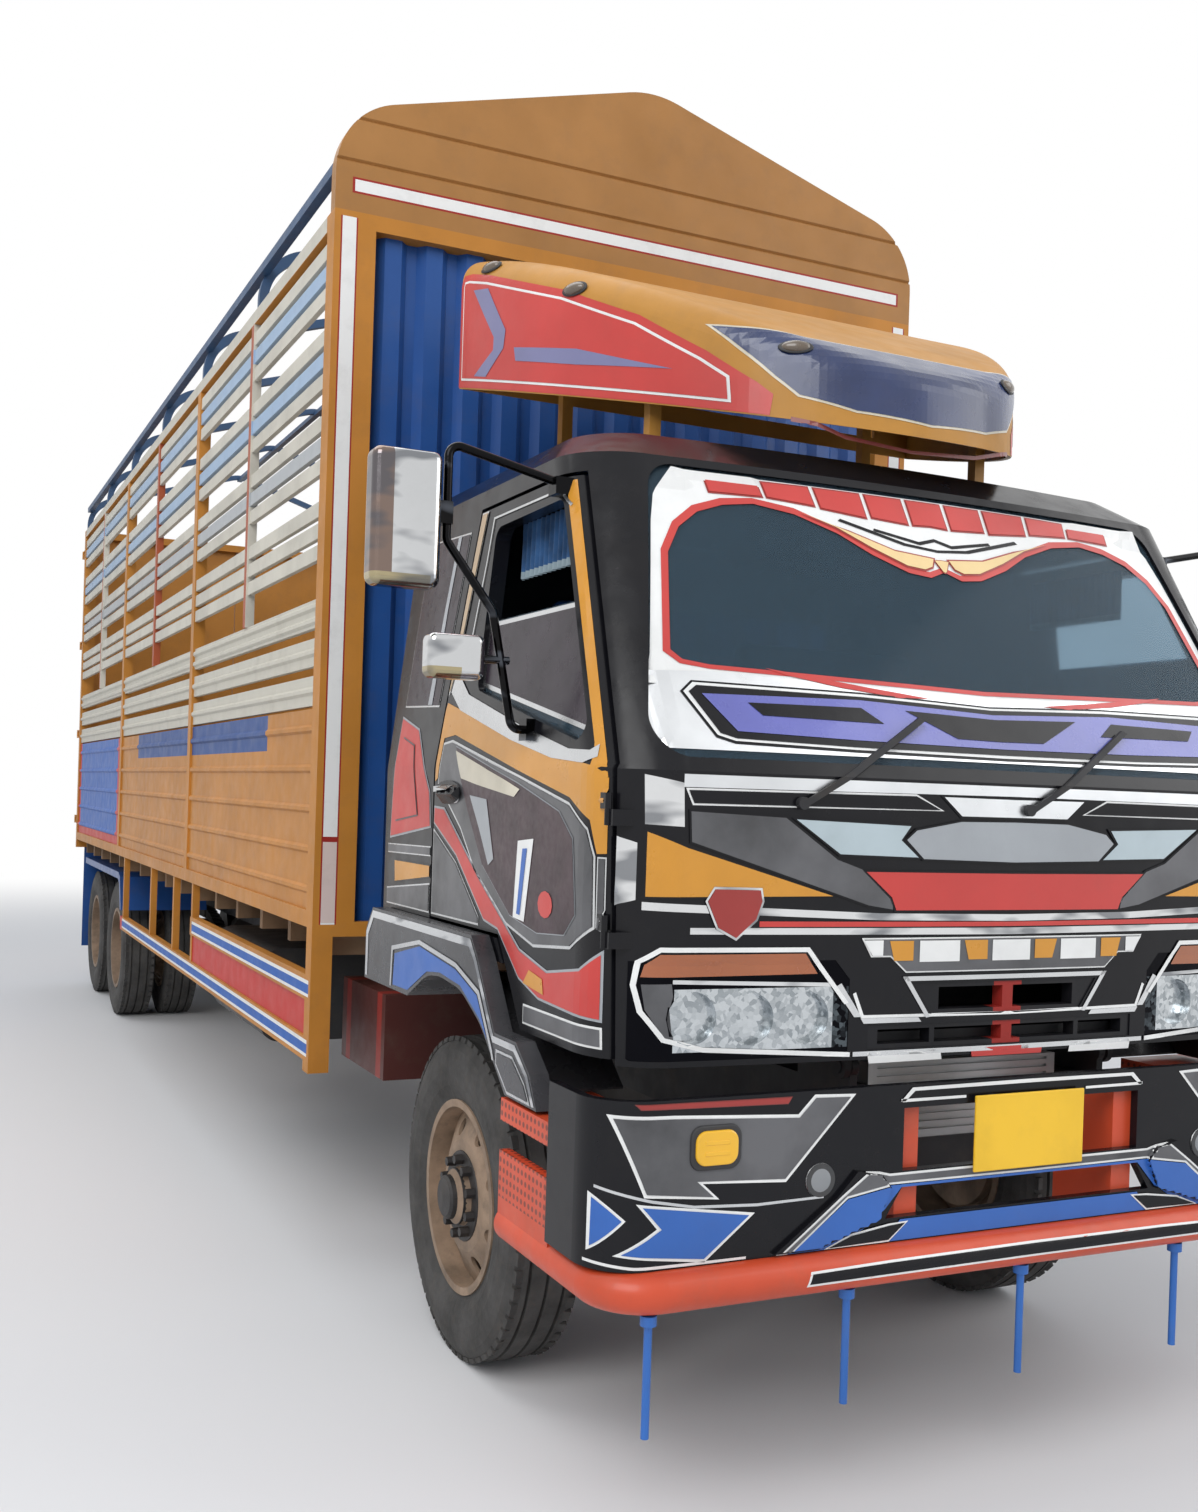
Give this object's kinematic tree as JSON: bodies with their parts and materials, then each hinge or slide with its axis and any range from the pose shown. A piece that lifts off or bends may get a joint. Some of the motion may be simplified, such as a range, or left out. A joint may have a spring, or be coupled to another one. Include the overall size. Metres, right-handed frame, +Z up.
{
  "type": "decorated truck",
  "caption": "Three-axle cab-over cargo truck with a high slatted body, hooped roof, folded gable, roof deflector and painted panels.",
  "frame": {"origin": "on the ground under the middle of the overall box", "axes": "+Z up, the cab's face looks along -Y, +X is the driver's left hand"},
  "size_m": [3.32, 10.761, 4.7135],
  "materials": {
    "tyre": "dusty tread rubber",
    "rim": "worn tan enamel",
    "cast": "dark oily casting",
    "chassis_paint": "satin black paint",
    "radiator_metal": "dull fins",
    "tank_metal": "brushed sheet",
    "black_paint": "gloss black paint",
    "orange_paint": "ochre orange enamel",
    "blue_paint": "blue enamel",
    "cream_paint": "cream enamel",
    "lamp_lens": "clear fluted lens",
    "amber_lens": "amber lens",
    "red_lens": "red lens",
    "cab_paint": "ochre enamel",
    "trim_black": "black plastic",
    "clear_glass": "clear glass",
    "visor_paint": "red enamel",
    "flare_chrome": "polished sheet",
    "seat_cloth": "woven cover",
    "curtain_cloth": "blue pleated cloth",
    "mirror_black": "black moulding",
    "deck_wood": "worn planks"
  },
  "bodies": {
    "chassis": {"chassis_frame": "chassis_paint", "engine_block": "cast", "radiator": "radiator_metal", "front_axle_beam": "cast", "leaf_springs": "cast", "rear_axles": "cast", "propeller_shafts": "cast", "side_tanks": "tank_metal", "bumper": "black_paint", "bumper_lamps": "amber_lens", "bumper_frame": "orange_paint", "hanging_rods": "blue_paint", "rear_mudguards": "blue_paint", "tail_lamps": "red_lens", "rear_bar": "chassis_paint", "cargo_floor": "deck_wood", "cargo_frame": "orange_paint", "side_boards": "orange_paint", "side_slats": "cream_paint", "front_wall": "blue_paint", "gable": "orange_paint", "roof_hoops": "blue_paint", "side_guards": "orange_paint"},
    "cab": {"cab_shell": "cab_paint", "cab_front_panel": "cab_paint", "cab_floor": "trim_black", "headlamps": "lamp_lens", "grille": "trim_black", "cab_glass": "clear_glass", "visor": "visor_paint", "wheel_arch_flares": "flare_chrome", "dashboard": "trim_black", "steering_wheel": "black_paint", "seats": "seat_cloth", "curtains": "curtain_cloth", "wipers": "black_paint"},
    "door_right": {"door_right": "cab_paint", "door_glass_right": "clear_glass", "mirrors_right": "mirror_black"},
    "door_left": {"door_left": "cab_paint", "door_glass_left": "clear_glass", "mirrors_left": "mirror_black"},
    "knuckle_right": {"knuckle_right": "cast"},
    "knuckle_left": {"knuckle_left": "cast"},
    "tie_rod": {"tie_rod": "cast"},
    "wheel_front_right": {"rim_front_right": "rim", "tyre_front_right": "tyre"},
    "wheel_front_left": {"rim_front_left": "rim", "tyre_front_left": "tyre"},
    "wheels_axle2_right": {"rims_axle2_right": "rim", "tyres_axle2_right": "tyre"},
    "wheels_axle2_left": {"rims_axle2_left": "rim", "tyres_axle2_left": "tyre"},
    "wheels_axle3_right": {"rims_axle3_right": "rim", "tyres_axle3_right": "tyre"},
    "wheels_axle3_left": {"rims_axle3_left": "rim", "tyres_axle3_left": "tyre"},
    "rear_door_right": {"rear_door_right": "visor_paint"},
    "rear_door_left": {"rear_door_left": "visor_paint"}
  },
  "joints": [
    {"name": "cab_tilt", "type": "hinge", "parent": "chassis", "child": "cab", "pos_m": [0, -5.1305, 1.115], "axis": [1, 0, 0], "range_deg": [0, 45]},
    {"name": "door_right_swing", "type": "hinge", "parent": "cab", "child": "door_right", "pos_m": [-1.176, -5.1405, 1.6], "axis": [0, 0, 1], "range_deg": [0, 70]},
    {"name": "door_left_swing", "type": "hinge", "parent": "cab", "child": "door_left", "pos_m": [1.176, -5.1405, 1.6], "axis": [0, 0, -1], "range_deg": [0, 70]},
    {"name": "steer_left", "type": "hinge", "parent": "chassis", "child": "knuckle_left", "pos_m": [0.84, -3.9305, 0.51], "axis": [0, 0, 1], "range_deg": [-38, 38]},
    {"name": "steer_right", "type": "hinge", "parent": "chassis", "child": "knuckle_right", "pos_m": [-0.84, -3.9305, 0.51], "axis": [0, 0, 1], "range_deg": [-38, 38]},
    {"name": "tie_rod_swing", "type": "hinge", "parent": "knuckle_left", "child": "tie_rod", "pos_m": [0.84, -3.7705, 0.376], "axis": [0, 0, 1], "range_deg": [-38, 38]},
    {"name": "wheel_front_right_spin", "type": "hinge", "parent": "knuckle_right", "child": "wheel_front_right", "pos_m": [-0.975, -3.9305, 0.51], "axis": [1, 0, 0], "continuous": true},
    {"name": "wheel_front_left_spin", "type": "hinge", "parent": "knuckle_left", "child": "wheel_front_left", "pos_m": [0.975, -3.9305, 0.51], "axis": [1, 0, 0], "continuous": true},
    {"name": "wheels_axle2_right_spin", "type": "hinge", "parent": "chassis", "child": "wheels_axle2_right", "pos_m": [-0.925, 3.4815, 0.51], "axis": [1, 0, 0], "continuous": true},
    {"name": "wheels_axle2_left_spin", "type": "hinge", "parent": "chassis", "child": "wheels_axle2_left", "pos_m": [0.925, 3.4815, 0.51], "axis": [1, 0, 0], "continuous": true},
    {"name": "wheels_axle3_right_spin", "type": "hinge", "parent": "chassis", "child": "wheels_axle3_right", "pos_m": [-0.925, 4.7925, 0.51], "axis": [1, 0, 0], "continuous": true},
    {"name": "wheels_axle3_left_spin", "type": "hinge", "parent": "chassis", "child": "wheels_axle3_left", "pos_m": [0.925, 4.7925, 0.51], "axis": [1, 0, 0], "continuous": true},
    {"name": "rear_door_right_swing", "type": "hinge", "parent": "chassis", "child": "rear_door_right", "pos_m": [-1.325, 5.3685, 2.6], "axis": [0, 0, 1], "range_deg": [0, 270]},
    {"name": "rear_door_left_swing", "type": "hinge", "parent": "chassis", "child": "rear_door_left", "pos_m": [1.325, 5.3685, 2.6], "axis": [0, 0, -1], "range_deg": [0, 270]}
  ],
  "couplings": [
    {"joint": "steer_right", "follows": "steer_left", "ratio": 1},
    {"joint": "tie_rod_swing", "follows": "steer_left", "ratio": -1}
  ]
}
